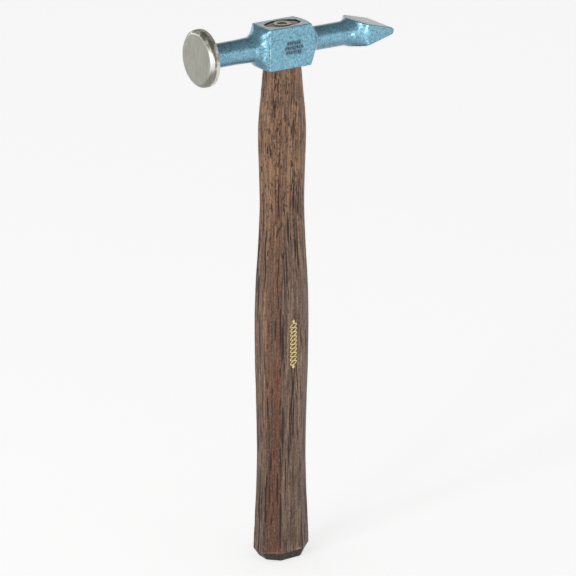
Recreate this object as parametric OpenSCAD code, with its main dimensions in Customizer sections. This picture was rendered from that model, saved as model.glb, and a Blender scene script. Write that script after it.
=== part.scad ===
// Cross pein hammer: a forged steel head with a round flat face, on a hickory handle.
// The handle stands along Z with the centre of its butt face at the origin. The head lies
// along X, with the struck face at -X and the cross pein at +X. Sizes are in millimetres.

/* [Whole hammer] */
// Height from the butt of the handle to the top of the head
hammer_h = 325; // [310:1:345]

/* [Striking face] */
// Diameter of the round striking face
face_d = 32.8; // [30:0.2:36]
// Thickness of the face disc
face_t = 5.8; // [5:0.1:8]
// Width and depth of the chamfer around the striking face
face_chamfer = 2; // [1:0.1:3]
// Distance from the handle's axis to the striking face
face_reach = 57.4; // [54:0.2:62]

/* [Head block] */
// Length of the block around the eye
block_l = 26.6; // [26:0.2:28]
// Width of the block
block_w = 18.9; // [18.6:0.1:20]
// Height of the block
block_h = 24.2; // [23:0.2:26]
// Diameter of the two round necks
neck_d = 13.7; // [12:0.1:14]

/* [Cross pein] */
// Distance from the handle's axis to the tip of the pein
pein_reach = 68; // [66:0.2:74]
// Width of the pein's edge
pein_w = 25.2; // [22:0.2:27]
// Angle of each ground facet to the head's axis
pein_angle = 14.8; // [12:0.1:16]
// Radius of the pein's rounded tip
pein_tip_r = 2.2; // [1.6:0.1:2.6]

/* [Eye and wedge] */
// Length of the oval eye at the top of the block
eye_l = 22; // [20:0.2:22.4]
// Width of the oval eye at the top of the block
eye_w = 13; // [12.4:0.1:13.6]
// Outer diameter of the round wedge at its top
wedge_d = 9.8; // [9:0.1:11]
// Diameter of the hole through the wedge at its top
wedge_hole_d = 5.9; // [4:0.1:6.6]
// Depth to which the wedge is driven
wedge_h = 13; // [10:0.5:16]

/* [Handle] */
// Height of the chamfer around the butt
butt_chamfer_h = 5.4; // [3:0.2:7]
// How far the butt chamfer steps in along X
butt_chamfer_x = 3.6; // [1:0.1:5]
// How far the butt chamfer steps in along Y
butt_chamfer_y = 1.5; // [1:0.1:3]

/* [Finish] */
// Thickness of the enamel coat on the head
enamel_t = 0.15; // [0.1:0.01:0.25]
// Depth of the stamped pips on the block
stamp_depth = 0.3; // [0.2:0.05:0.5]
// Thickness of the gold foil ornament on the handle
foil_t = 0.12; // [0.08:0.01:0.2]

/* [Hidden] */

$fn = 96;
grip_h = hammer_h - block_h;      // underside of the block, where the handle's shoulder sits
head_z = hammer_h - block_h / 2;  // height of the head's axis
tiny = 0.05;

neck_r = neck_d / 2;
neck_flare = 0.45;                // how much the face-side neck thickens towards the block
neck_flare_start = 34;            // distance from the handle's axis where that starts
corner_r = norm([block_w, block_h]) / 2 + 0.25;  // turned radius that clears its corners

// Face end of the block, a funnel down to the neck: [distance from the handle's axis, size]
funnel_h = [[14, block_h / 2], [17.1, 11.3], [19.6, 9.6], [21, 7.9]];            // half height
funnel_w = [[13.9, block_w / 2], [15.8, 8.5], [17.8, 7.8], [21, 7.7]];           // half width
funnel_r = [[block_l / 2, corner_r], [17, 12.6], [21.4, neck_r + neck_flare]];   // turned radius

pein_end_x = 16.35;               // wall at the pein end of the block
pein_end_r = 9.6;                 // radius of that wall, inside the turned chamfer
pein_end_fillet = 2.6;            // fillet between the wall and the neck

flare_start = pein_reach - 24.3;  // where the pein's cone would leave its neck
flare_angle = 49;                 // half angle of that cone
flare_fillet = 3.2;               // fillet between the neck and the cone
bare_gap = 0.3;                   // bare rim left round the eye and behind the face disc
blank_r = pein_w / 2 + 1.7;       // turned radius of the pein before its sides are milled
pein_lift = 0.3;                  // the wedge sits a little above the head's axis

eye_arc_r = 16.6;                 // radius of the eye's two long sides at its ends
eye_waist = 0.6;                  // how much narrower the eye is, each side, at its waist
eye_waist_z = 9;                  // height of the waist above the block's underside
wood_recess = 0.6;                // end grain below the top of the block
core_recess = 0.75;               // wood inside the wedge below the top of the block
wedge_proud = 0.3;                // wedge above the top of the block
wedge_taper = 0.8;                // how much the wedge's outside narrows, in radius
wedge_edge = 0.5;                 // wall left at the wedge's lower edge

// Grip stations: [height in a 300 mm grip, half width X, half thickness Y, ridge rounding]
STATIONS = [
    [0, 16.7, 11.8, 1.2],
    [8, 16.4, 11.6, 1.2],
    [25, 15.7, 11.1, 1.4],
    [45, 14.8, 10.6, 1.5],
    [68, 14.45, 10.4, 1.6],
    [100, 15.1, 10.9, 1.8],
    [120, 15.6, 11, 1.9],
    [150, 15.85, 11, 2.1],
    [170, 15.3, 10.8, 2.4],
    [190, 14.2, 10.2, 2.8],
    [206, 13.5, 9.7, 3.2],
    [220, 13.2, 9.4, 3.6],
    [240, 13.7, 9.6, 4.4],
    [260, 14.4, 9.9, 5.3],
    [272, 13.9, 9.6, 6],
    [285, 12.7, 8.9, 6.4],
    [300, 11.5, 8, 6.6],
];
y_flat_share = 0.667;             // half length of a Y flat, as a share of the half thickness
x_flat_share = 0.31;              // half length of an X flat, as a share of the half width
ring_step = 6;                    // spacing of the grip's rings
arc_steps = 3;                    // steps around each rounded ridge

foil_z = [120, 151];              // lowest and highest point of the gold ornament
foil_x = 1;                       // ornament's middle, from the middle of the flat
braid_turns = 5;                  // full waves along the braid
braid_w = 4.2;                    // width of the braid
braid_line = 0.8;                 // thickness of a strand where it crosses the grain
braid_slant = 18;                 // slant of the waves, in degrees
diamond_w = 1.2;                  // side of the diamond at each end

stamp_rows = [6, 8, 7];           // pips in each row of the stamp, from the top down
stamp_pitch = [1.5, 2.6];         // spacing along a row, and between rows
pip = [0.6, 1.5];                 // width and height of a pip
pip_lean = 14;                    // lean of the pips, to alternate sides, in degrees
stamp_x = 1.6;                    // middle of the stamp, from the middle of the block

// ---- The head ----

// Half outline of the whole turned blank, grown by g: radius along X, the head's axis along Y
module blank_outline(g) {
    disc_back = face_reach - face_t;
    wall = pein_end_x + g;
    fillet_x = pein_end_x + pein_end_fillet;
    hollow = [neck_r + flare_fillet, flare_start - flare_fillet * tan(flare_angle / 2)];
    into_cone = [-cos(flare_angle), sin(flare_angle)];
    cone_h = blank_r + 2 * g - neck_r - g / cos(flare_angle);
    difference() {
        polygon(concat(
            [
                [0, -face_reach], [face_d / 2 - face_chamfer, -face_reach],
                [face_d / 2, face_chamfer - face_reach],
                [face_d / 2, -disc_back], [neck_r + g, -disc_back],
                [neck_r + g, -neck_flare_start]
            ],
            [for (i = [2 : -1 : 0]) [funnel_r[i][1] + g, -funnel_r[i][0]]],
            [
                [corner_r + g, block_l / 2], [pein_end_r + g, wall],
                [neck_r + pein_end_fillet, wall], [neck_r + pein_end_fillet, fillet_x],
                [neck_r + g, fillet_x],
                [neck_r + g, hollow[1]], hollow, hollow + (flare_fillet - g) * into_cone,
                [blank_r + 2 * g, flare_start + cone_h / tan(flare_angle)],
                [blank_r + 2 * g, pein_reach], [0, pein_reach]
            ]
        ));
        translate([neck_r + pein_end_fillet, fillet_x]) circle(pein_end_fillet - g);
        translate(hollow) circle(flare_fillet - g);
    }
}

module turned_blank(g) {
    translate([0, 0, head_z]) rotate([0, 90, 0]) rotate_extrude() blank_outline(g);
}

// Side outline of the pein's wedge: X along the head, Y up; the facets move in by cut
module wedge_outline(cut) {
    tip_x = pein_reach - pein_tip_r;
    root_x = flare_start - 5;
    root_h = pein_tip_r / cos(pein_angle) + (tip_x - root_x) * tan(pein_angle);
    tangent_x = tip_x + pein_tip_r * sin(pein_angle);
    tangent_h = pein_tip_r * cos(pein_angle) - cut;
    translate([0, pein_lift]) {
        translate([tip_x, 0]) circle(pein_tip_r - cut);
        polygon([
            [root_x, -root_h + cut], [tangent_x, -tangent_h],
            [tangent_x, tangent_h], [root_x, root_h - cut]
        ]);
    }
}

// Outline of the block with its funnel, as seen from one side
module funnel_outline(profile, g) {
    last = len(profile) - 1;
    half = profile[0][1] + g;
    polygon(concat(
        [for (p = profile) [-p[0], p[1] + g]],
        [for (i = [last : -1 : 0]) [-profile[i][0], -profile[i][1] - g]],
        [[flare_start, -half], [flare_start, half]]
    ));
}

// The space left by milling: the block, and the sides and facets of the pein
module milled_envelope(g, cut) {
    funnel_end = funnel_h[3][0];
    translate([-face_reach - 1, -20, head_z - 20])
        cube([face_reach + 1 - funnel_end, 40, 40]);
    intersection() {
        translate([0, 20, head_z]) rotate([90, 0, 0])
            linear_extrude(40) funnel_outline(funnel_h, g);
        translate([0, 0, head_z - 20])
            linear_extrude(40) funnel_outline(funnel_w, g);
    }
    translate([0, pein_w / 2 + g, head_z]) rotate([90, 0, 0])
        linear_extrude(pein_w + 2 * g) wedge_outline(cut);
}

module head_form(g = 0, cut = 0) {
    intersection() {
        turned_blank(g);
        milled_envelope(g, cut);
    }
}

// Half of the eye: three cones meet in a pointed oval, narrowest at the waist
module oval_half(h, margin) {
    offset_y = eye_arc_r - eye_w / 2;
    intersection() {
        translate([0, -offset_y, 0])
            cylinder(h = h, r1 = eye_arc_r - eye_waist + margin, r2 = eye_arc_r + margin);
        translate([0, offset_y, 0])
            cylinder(h = h, r1 = eye_arc_r - eye_waist + margin, r2 = eye_arc_r + margin);
        cylinder(h = h, r1 = eye_l / 2 - eye_waist + margin, r2 = eye_l / 2 + margin);
    }
}

// The hourglass space inside the block that the tenon fills
module eye_space(margin = 0) {
    translate([0, 0, grip_h + eye_waist_z]) {
        oval_half(block_h - eye_waist_z, margin);
        mirror([0, 0, 1]) oval_half(eye_waist_z, margin);
    }
}

// Rows of plain slanted pips in place of a stamp, on the block's -Y side
module stamp_pips() {
    for (row = [0 : len(stamp_rows) - 1])
        for (i = [0 : stamp_rows[row] - 1])
            translate([
                stamp_x + (i - (stamp_rows[row] - 1) / 2) * stamp_pitch[0],
                -block_w / 2,
                head_z + (1 - row) * stamp_pitch[1]
            ])
                rotate([0, i % 2 == 0 ? pip_lean : -pip_lean, 0])
                    cube([pip[0], 2 * stamp_depth, pip[1]], center = true);
}

module head() {
    color("lightsteelblue")
        difference() {
            head_form();
            eye_space();
            stamp_pips();
        }
}

// Hammertone enamel on everything but the face disc, the pein's facets and the eye
module enamel_coat() {
    start_x = -face_reach + face_t + bare_gap;
    color("skyblue")
        difference() {
            intersection() {
                head_form(enamel_t, tiny);
                translate([start_x, -20, head_z - 20]) cube([pein_reach - start_x, 40, 40]);
            }
            head_form();
            for (z = [-1, 1]) translate([0, 0, z]) eye_space(bare_gap);
            stamp_pips();
        }
}

// ---- The handle ----

// Smooth curve through the stations: column k at height z of a 300 mm grip
function station_index(z, i = 0) =
    i >= len(STATIONS) - 2 || z <= STATIONS[i + 1][0] ? i : station_index(z, i + 1);

function slope(i, k) =
    i == 0 || i == len(STATIONS) - 1 ? (k < 3 && i > 0 ? -0.08 : 0)
    : (STATIONS[i + 1][k] - STATIONS[i - 1][k]) / (STATIONS[i + 1][0] - STATIONS[i - 1][0]);

function station_value(z, k) =
    let (
        i = station_index(z),
        a = STATIONS[i],
        b = STATIONS[i + 1],
        span = b[0] - a[0],
        t = (z - a[0]) / span
    )
    a[k] * (1 + 2 * t) * pow(1 - t, 2) + slope(i, k) * span * t * pow(1 - t, 2)
    + b[k] * t * t * (3 - 2 * t) + slope(i + 1, k) * span * t * t * (t - 1);

// One quarter of a rounded octagon, from the X flat round to the Y flat
function quarter(a, b, r) =
    let (
        fx = y_flat_share * b,
        fy = x_flat_share * a,
        diagonal = atan2(a - fx, b - fy),
        turn_1 = diagonal / 2,
        turn_2 = (90 - diagonal) / 2,
        c1 = [a, fy] - r / cos(turn_1) * [cos(turn_1), sin(turn_1)],
        c2 = [fx, b] - r / cos(turn_2) * [cos(diagonal + turn_2), sin(diagonal + turn_2)]
    )
    concat(
        [for (s = [0 : arc_steps]) let (w = diagonal * s / arc_steps)
            c1 + r * [cos(w), sin(w)]],
        [for (s = [0 : arc_steps]) let (w = diagonal + (90 - diagonal) * s / arc_steps)
            c2 + r * [cos(w), sin(w)]]
    );

function reversed(list) = [for (i = [len(list) - 1 : -1 : 0]) list[i]];

function octagon(a, b, r) =
    let (q = quarter(a, b, r))
    concat(
        q,
        [for (p = reversed(q)) [-p[0], p[1]]],
        [for (p = q) [-p[0], -p[1]]],
        [for (p = reversed(q)) [p[0], -p[1]]]
    );

function grip_ring(z) =
    let (
        s = min(300, max(0, z * 300 / grip_h)),
        chamfer = max(0, 1 - z / butt_chamfer_h),
        a = station_value(s, 1) - butt_chamfer_x * chamfer,
        b = station_value(s, 2) - butt_chamfer_y * chamfer
    )
    [for (p = octagon(a, b, station_value(s, 3))) [p[0], p[1], z]];

module grip() {
    levels = concat(
        [-2, 0, butt_chamfer_h],
        [for (z = [2 * ring_step : ring_step : grip_h - ring_step / 2]) z],
        [grip_h]
    );
    rings = [for (z = levels) grip_ring(z)];
    n = len(rings[0]);
    top = len(rings) - 1;
    side = [for (i = [0 : top - 1]) for (j = [0 : n - 1])
        [i * n + j, (i + 1) * n + j, (i + 1) * n + (j + 1) % n, i * n + (j + 1) % n]];
    difference() {
        polyhedron(
            points = [for (ring = rings) for (p = ring) p],
            faces = concat(
                side,
                [[for (j = [0 : n - 1]) j]],
                [[for (j = [n - 1 : -1 : 0]) top * n + j]]
            ),
            convexity = 4
        );
        translate([-30, -30, -10]) cube([60, 60, 10]);
    }
}

module handle() {
    color("saddlebrown")
        difference() {
            union() {
                grip();
                intersection() {
                    eye_space();
                    translate([-20, -20, grip_h - tiny])
                        cube([40, 40, block_h - wood_recess + tiny]);
                }
            }
            wedge_solid();
            translate([0, 0, hammer_h - core_recess]) cylinder(h = 5, d = wedge_hole_d);
        }
}

// ---- The wedge ----

module wedge_solid() {
    edge_r = wedge_d / 2 - wedge_taper;
    translate([0, 0, hammer_h - wedge_h])
        difference() {
            cylinder(h = wedge_h + wedge_proud, r1 = edge_r, r2 = wedge_d / 2);
            translate([0, 0, -tiny])
                cylinder(h = wedge_h + wedge_proud + 2 * tiny,
                         r1 = edge_r - wedge_edge, r2 = wedge_hole_d / 2);
        }
}

module ring_wedge() {
    color("silver") wedge_solid();
}

// ---- The gold ornament ----

// Middle line of a strand of the braid, at share u of its length: a slanted wave
function strand_point(u, phase) =
    let (across = braid_w / 2 * cos(360 * braid_turns * u + phase))
    [across, (foil_z[1] - foil_z[0] - 4 * diamond_w) * (u - 0.5) + across * tan(braid_slant)];

// One edge of a strand, on the given side of its middle line
function strand_edge(u, phase, side) =
    let (
        along = strand_point(u + 0.001, phase) - strand_point(u - 0.001, phase),
        swell = 0.5 + 0.5 * abs(sin(360 * braid_turns * u + phase))
    )
    strand_point(u, phase) + side * braid_line / 2 * swell * [-along[1], along[0]] / norm(along);

module strand(phase) {
    steps = braid_turns * 12;
    polygon([
        for (i = [0 : steps]) strand_edge(i / steps, phase, 1),
        for (i = [steps : -1 : 0]) strand_edge(i / steps, phase, -1)
    ]);
}

// A braid of two strands with a diamond at each end
module foil_mark() {
    length = foil_z[1] - foil_z[0];
    flat_y = -station_value(foil_z[1] * 300 / grip_h, 2);
    color("gold")
        translate([foil_x, flat_y, (foil_z[0] + foil_z[1]) / 2])
            rotate([90, 0, 0])
                linear_extrude(foil_t) {
                    for (phase = [90, 270]) strand(phase);
                    for (end = [-1, 1])
                        translate([0, end * (length / 2 - diamond_w)])
                            rotate(45) square(diamond_w, center = true);
                }
}

head();
enamel_coat();
handle();
ring_wedge();
foil_mark();
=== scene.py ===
"""Looks of the cross pein hammer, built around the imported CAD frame.

The head is one signed distance field, in millimetres, meshed twice: the bare steel, and the
enamel as a thin shell cut where the field says the paint ends. The handle is a stack of rings
from the butt to the end grain in the eye. All pieces ride on the frame's one body.
"""

from math import atan2, ceil, cos, pi, radians, sin, sqrt, tan

import bpy
import numpy as np
from mathutils import Matrix, Vector


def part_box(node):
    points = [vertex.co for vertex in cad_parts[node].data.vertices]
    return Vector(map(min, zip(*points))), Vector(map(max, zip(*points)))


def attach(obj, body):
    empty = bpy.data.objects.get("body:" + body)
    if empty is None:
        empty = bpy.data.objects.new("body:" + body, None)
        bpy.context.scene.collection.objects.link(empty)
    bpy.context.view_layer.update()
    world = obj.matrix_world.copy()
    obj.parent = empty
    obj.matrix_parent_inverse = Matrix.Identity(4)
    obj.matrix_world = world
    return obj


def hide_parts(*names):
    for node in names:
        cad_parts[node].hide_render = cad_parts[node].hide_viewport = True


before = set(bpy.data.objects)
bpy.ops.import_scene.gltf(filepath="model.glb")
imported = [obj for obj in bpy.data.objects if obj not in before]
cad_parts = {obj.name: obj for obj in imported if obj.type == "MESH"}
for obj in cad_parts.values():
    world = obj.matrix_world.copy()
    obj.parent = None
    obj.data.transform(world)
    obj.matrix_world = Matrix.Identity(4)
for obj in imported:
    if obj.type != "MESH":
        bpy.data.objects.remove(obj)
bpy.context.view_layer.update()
MM = 0.001


def box_mm(node):
    low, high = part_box(node)
    return np.array(low) / MM, np.array(high) / MM


# ---- Sizes in millimetres: those of the whole pieces come from the frame ----

head_low, head_high = box_mm("head")
coat_high = box_mm("enamel_coat")[1]
wood_top = box_mm("handle")[1][2]
wedge_low, wedge_high = box_mm("ring_wedge")
foil_low, foil_high = box_mm("foil_mark")

FACE_X, TIP_X = head_low[0], head_high[0]   # the struck face and the pein's tip
FACE_R = (head_high[1] - head_low[1]) / 2
HEAD_Z = head_high[2] - FACE_R              # height of the head's axis
ENAMEL_T = 0.15
BLOCK_TOP = coat_high[2] - ENAMEL_T
BLOCK_HALF_H = BLOCK_TOP - HEAD_Z
GRIP_TOP = BLOCK_TOP - 2 * BLOCK_HALF_H     # underside of the block
PEIN_HALF_W = coat_high[1] - ENAMEL_T

FACE_T = 5.8             # thickness of the face disc
FACE_CHAMFER = 2.0       # turned off the disc's front edge, at 45 degrees
FACE_EDGE_R = 0.55       # rounding of the chamfer's two edges
FACE_CROWN = 0.15        # how far the face falls back towards its chamfer
DISC_BACK_R = 0.5
NECK_R = 6.85
NECK_FLARE = 0.45        # the face side's neck thickens by this towards the block
NECK_FLARE_X = (-34, -19)
NECK_HALF_L = 53         # the necks end inside the disc and the pein
PEIN_FROM_X = 32         # the head's two halves meet here, in the neck
BLOCK_HALF_W = 9.45
BLOCK_HALF_L = 13.3
BLOCK_CORNER_R = 15.6    # turned radius at the block's corners
PEIN_END = (9.6, 16.35)  # inner radius of the pein end's cone, and its distance
PEIN_END_FILLET = 2.7
FUNNEL_X = (-21.2, -14)  # where the face side's neck grows into the block's rectangle
FUNNEL_LAG = 0.22        # the funnel's sides start later than its top, by this share of it
FUNNEL_BULGE = 0.78      # share of a quarter sine in the funnel's top; the rest is straight
BLOCK_EDGE_R = 0.5       # softened edges of the forging
PEIN_EDGE_R = 0.25
PEIN_TURN_R = 3.0        # soft turn from the flare's cone to the middle of the pein's sides
FLARE_X = TIP_X - 24.3   # where the pein's cone would leave its neck
FLARE_ANGLE = radians(49)
FLARE_FILLET = 3.2
BLANK_R = 14.3           # the round bar that the pein is ground from
PEIN_ANGLE = radians(14.8)
PEIN_TIP_R = 2.2
PEIN_LIFT = 0.3          # the pein's edge lies this far above the head's axis
EYE_HALF_L = 11.0
EYE_HALF_W = 6.5
EYE_ARC_R = 16.6
EYE_WAIST = 0.6
EYE_WAIST_Z = GRIP_TOP + 9
EYE_RIM_R = 0.25
BARE_GAP = 0.3           # bare steel round the eye and behind the disc
SWELL = 0.01             # slow unevenness of the forging, between the disc and the flare
SWELL_X = (FACE_X + 12, FLARE_X - 8)
SWELL_FADE = 6
MARK_DEPTH = 0.045       # hammer marks, in two bands: middle and half width of each along X
FUNNEL_MARKS = (-17, 3.5)
FLARE_MARKS = (FLARE_X + 6, 2.5)

STAMP_ROWS = (6, 8, 7)   # pips in each row, from the top down
STAMP_PITCH = (1.5, 2.6)
STAMP_PIP = (0.6, 1.5)
STAMP_LEAN = radians(14)
STAMP_X = 1.6
STAMP_DEPTH = 0.3

WEDGE_R = wedge_high[0]
WEDGE_HOLE_R = 2.95
WEDGE_TAPER = 0.8
WEDGE_WALL = 0.5         # wall at the wedge's lower edge
WEDGE_LIP_R = 0.32       # rounding of the wedge's upper edges
CORE_RECESS = 0.75       # wood inside the wedge, below the top of the block

Y_FLAT, X_FLAT = 0.667, 0.31   # half lengths of the grip's flats, as shares of its half widths
BUTT_CHAMFER = 5.4
BUTT_ROUND = 0.7
TENON_PLAY = 0.03        # between the tenon and the eye
# Ridge rounding of the grip against height: crisp at the butt, almost oval under the head
RIDGE_Z = (0, 100, 170, 206, 240, 272, 301)
RIDGE_R = (1.2, 1.8, 2.4, 3.2, 4.4, 6.0, 6.6)


# ---- Small numpy tools ----

def lattice_noise(points, cell, seed=0):
    """Smooth noise from 0 to 1, with one value per corner of a lattice of that cell size."""
    q = np.asarray(points) / np.asarray(cell, float)
    base = np.floor(q).astype(np.int64)
    part = q - base
    part = part * part * (3 - 2 * part)
    total = 0.0
    for corner in np.ndindex(2, 2, 2):
        c = base + corner
        h = c[..., 0] * 73856093 ^ c[..., 1] * 19349663 ^ c[..., 2] * 83492791 ^ seed * 7919
        h = (h ^ (h >> 13)) * 1274126177
        h = ((h ^ (h >> 16)) & 0xFFFF) / 65535
        total = total + h * np.prod(np.where(corner, part, 1 - part), axis=-1)
    return total


def smoothstep(low, high, value):
    t = np.clip((value - low) / (high - low), 0, 1)
    return t * t * (3 - 2 * t)


def bell(value, width):
    """1 where the value is zero, and next to nothing beyond twice the width."""
    return np.exp(-(value / width) ** 2)


def round_max(a, b, r):
    """Intersection of two fields, with its edge rounded to radius r."""
    return np.minimum(-r, np.maximum(a, b)) + np.hypot(np.maximum(r + a, 0), np.maximum(r + b, 0))


def round_min(a, b, r):
    """Union of two fields, with a fillet of radius r."""
    return np.maximum(r, np.minimum(a, b)) - np.hypot(np.maximum(r - a, 0), np.maximum(r - b, 0))


# ---- The head as a field: negative inside, millimetres from the surface near it ----

def block_field(x, y, z):
    """The block: a funnel that grows out of the face side's neck, flats, and a turned cone."""
    t = np.clip((x - FUNNEL_X[0]) / (FUNNEL_X[1] - FUNNEL_X[0]), 0, 1)
    start = NECK_R + NECK_FLARE - 0.03
    widened = np.clip((1 + FUNNEL_LAG) * t - FUNNEL_LAG, 0, 1) ** 2
    raised = FUNNEL_BULGE * np.sin(pi / 2 * t) + (1 - FUNNEL_BULGE) * t
    half_w = start + (BLOCK_HALF_W - start) * widened
    half_h = start + (BLOCK_HALF_H - start) * raised
    corner = start + (BLOCK_EDGE_R - start) * t ** 2.3
    qy, qz = np.abs(y) - half_w + corner, np.abs(z) - half_h + corner
    section = np.hypot(np.maximum(qy, 0), np.maximum(qz, 0)) - corner
    section = section + np.minimum(np.maximum(qy, qz), 0)
    run, rise = PEIN_END[1] - BLOCK_HALF_L, BLOCK_CORNER_R - PEIN_END[0]
    cone = (x - PEIN_END[1]) * rise + (np.hypot(y, z) - PEIN_END[0]) * run
    cone = cone / sqrt(run ** 2 + rise ** 2)
    return np.maximum(round_max(section, cone, BLOCK_EDGE_R), FUNNEL_X[0] - x)


def turned_field(x, r):
    """The necks, the face disc and the cone that flares to the pein, at radius r from the axis."""
    flare = NECK_FLARE * smoothstep(NECK_FLARE_X[0], NECK_FLARE_X[1], x) * (x < 0)
    neck = np.maximum(r - NECK_R - flare, np.abs(x) - NECK_HALF_L)
    chamfer = (r - FACE_R + FACE_X - x + FACE_CHAMFER) / sqrt(2)
    disc = round_max(FACE_X + FACE_CROWN * (r / FACE_R) ** 2 - x, chamfer, FACE_EDGE_R)
    disc = round_max(disc, r - FACE_R, FACE_EDGE_R)
    disc = round_max(disc, x - FACE_X - FACE_T, DISC_BACK_R)
    cone = (r - NECK_R) * cos(FLARE_ANGLE) - (x - FLARE_X) * sin(FLARE_ANGLE)
    return neck, disc, cone


def wedge_field(x, z):
    """The pein's two ground facets and its rounded tip, with z counted from the head's axis."""
    qx, qz = x - (TIP_X - PEIN_TIP_R), np.abs(z - PEIN_LIFT)
    facet = qx * sin(PEIN_ANGLE) + qz * cos(PEIN_ANGLE) - PEIN_TIP_R
    past_tangent = qx * cos(PEIN_ANGLE) - qz * sin(PEIN_ANGLE) > 0
    return np.where(past_tangent, np.hypot(qx, qz) - PEIN_TIP_R, facet)


def eye_narrowing(z):
    """How much the hourglass eye has drawn in at height z."""
    reach = np.where(z > EYE_WAIST_Z, BLOCK_TOP - EYE_WAIST_Z, EYE_WAIST_Z - GRIP_TOP)
    return EYE_WAIST * (1 - np.abs(z - EYE_WAIST_Z) / reach)


def eye_field(p):
    x, y, z = np.moveaxis(p, -1, 0)
    sides = np.hypot(x, np.abs(y) + EYE_ARC_R - EYE_HALF_W) - EYE_ARC_R
    return np.maximum(sides, np.hypot(x, y) - EYE_HALF_L) + eye_narrowing(z)


def stamp_field(p):
    """Rows of plain slanted pips in the block's -Y side."""
    x, y, z = np.moveaxis(p - (STAMP_X, -BLOCK_HALF_W, HEAD_Z), -1, 0)
    field = np.full(x.shape, 9.0)
    near = (np.abs(x) < 7) & (np.abs(z) < 4.5) & (np.abs(y) < 3)
    xs, ys, zs = x[near], y[near], z[near]
    best = np.full(xs.shape, 9.0)
    for row, count in enumerate(STAMP_ROWS):
        for i in range(count):
            lean = STAMP_LEAN if i % 2 == 0 else -STAMP_LEAN
            dx = xs - (i - (count - 1) / 2) * STAMP_PITCH[0]
            dz = zs - (1 - row) * STAMP_PITCH[1]
            across = np.abs(dx * cos(lean) - dz * sin(lean)) - STAMP_PIP[0] / 2
            along = np.abs(dx * sin(lean) + dz * cos(lean)) - STAMP_PIP[1] / 2
            best = np.minimum(best, round_max(across, along, 0.15))
    field[near] = round_max(best, ys - STAMP_DEPTH, 0.1)
    return field


def head_field(p):
    x, y, z = np.moveaxis(p - (0, 0, HEAD_Z), -1, 0)
    forged = np.clip((x - SWELL_X[0]) / SWELL_FADE, 0, 1)
    forged = forged * np.clip((SWELL_X[1] + SWELL_FADE - x) / SWELL_FADE, 0, 1)
    r = np.hypot(y, z)
    neck, disc, cone = turned_field(x, r)
    body = round_min(neck, block_field(x, y, z), np.where(x < 0, 1.2, PEIN_END_FILLET))
    body = np.minimum(body, round_min(neck, disc, 0.5)) + forging_swell(p) * forged
    turn = PEIN_EDGE_R + PEIN_TURN_R * smoothstep(12, 2, np.abs(z - PEIN_LIFT))
    flared = round_max(round_min(neck, cone, FLARE_FILLET), np.abs(y) - PEIN_HALF_W, turn)
    milled = np.maximum(wedge_field(x, z), r - BLANK_R)
    pein = round_max(flared, milled, PEIN_EDGE_R)
    field = np.where(x < PEIN_FROM_X, body, pein) + hammer_marks(p)
    field = round_max(field, -eye_field(p), EYE_RIM_R)
    return np.maximum(field, -stamp_field(p))


def forging_swell(p):
    """The slow unevenness of a forging, a few hundredths of a millimetre, never outwards."""
    x, y, z = np.moveaxis(p, -1, 0)
    waves = (0.52 * x + 0.7 * z, 0.61 * y - 0.43 * z + 1.3, 0.33 * x + 0.8 * y + 2)
    return SWELL * (sum(np.sin(wave) for wave in waves) + len(waves))


def hammer_marks(p):
    """Shallow hammer marks on the block's funnel and on the pein's flare, never outwards."""
    x, y, z = np.moveaxis(p - (0, 0, HEAD_Z), -1, 0)
    flare = bell(x - FLARE_MARKS[0], FLARE_MARKS[1]) * smoothstep(-8, -3, z)
    places = bell(x - FUNNEL_MARKS[0], FUNNEL_MARKS[1]) + flare
    marks = np.sin(1.25 * y + 0.5 * x + 0.8) * np.sin(0.85 * z + 0.4 * y - 0.3 * x)
    return MARK_DEPTH * places * (1 + marks)


def paint_field(p):
    """Positive where the enamel is: behind the disc, off the ground facets, outside the eye."""
    x, z = p[..., 0], p[..., 2] - HEAD_Z
    behind_disc = x - (FACE_X + FACE_T + BARE_GAP)
    off_facets = -wedge_field(x, z) - 0.12
    round_eye = eye_field(p) - BARE_GAP
    ragged = 0.12 * (lattice_noise(p, 1.1, 5) - 0.5)
    return np.minimum(np.minimum(behind_disc, round_eye) + ragged, off_facets)


# ---- Meshing a field ----

def graded_lines(low, high, coarse, bands):
    """Grid lines from low to high; each band (centre, half width, step) makes them finer."""
    lines = [low]
    while lines[-1] < high:
        steps = [step + 0.3 * max(0, abs(lines[-1] - c) - w) for c, w, step in bands]
        lines.append(lines[-1] + min([coarse] + steps))
    return np.array(lines)


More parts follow.
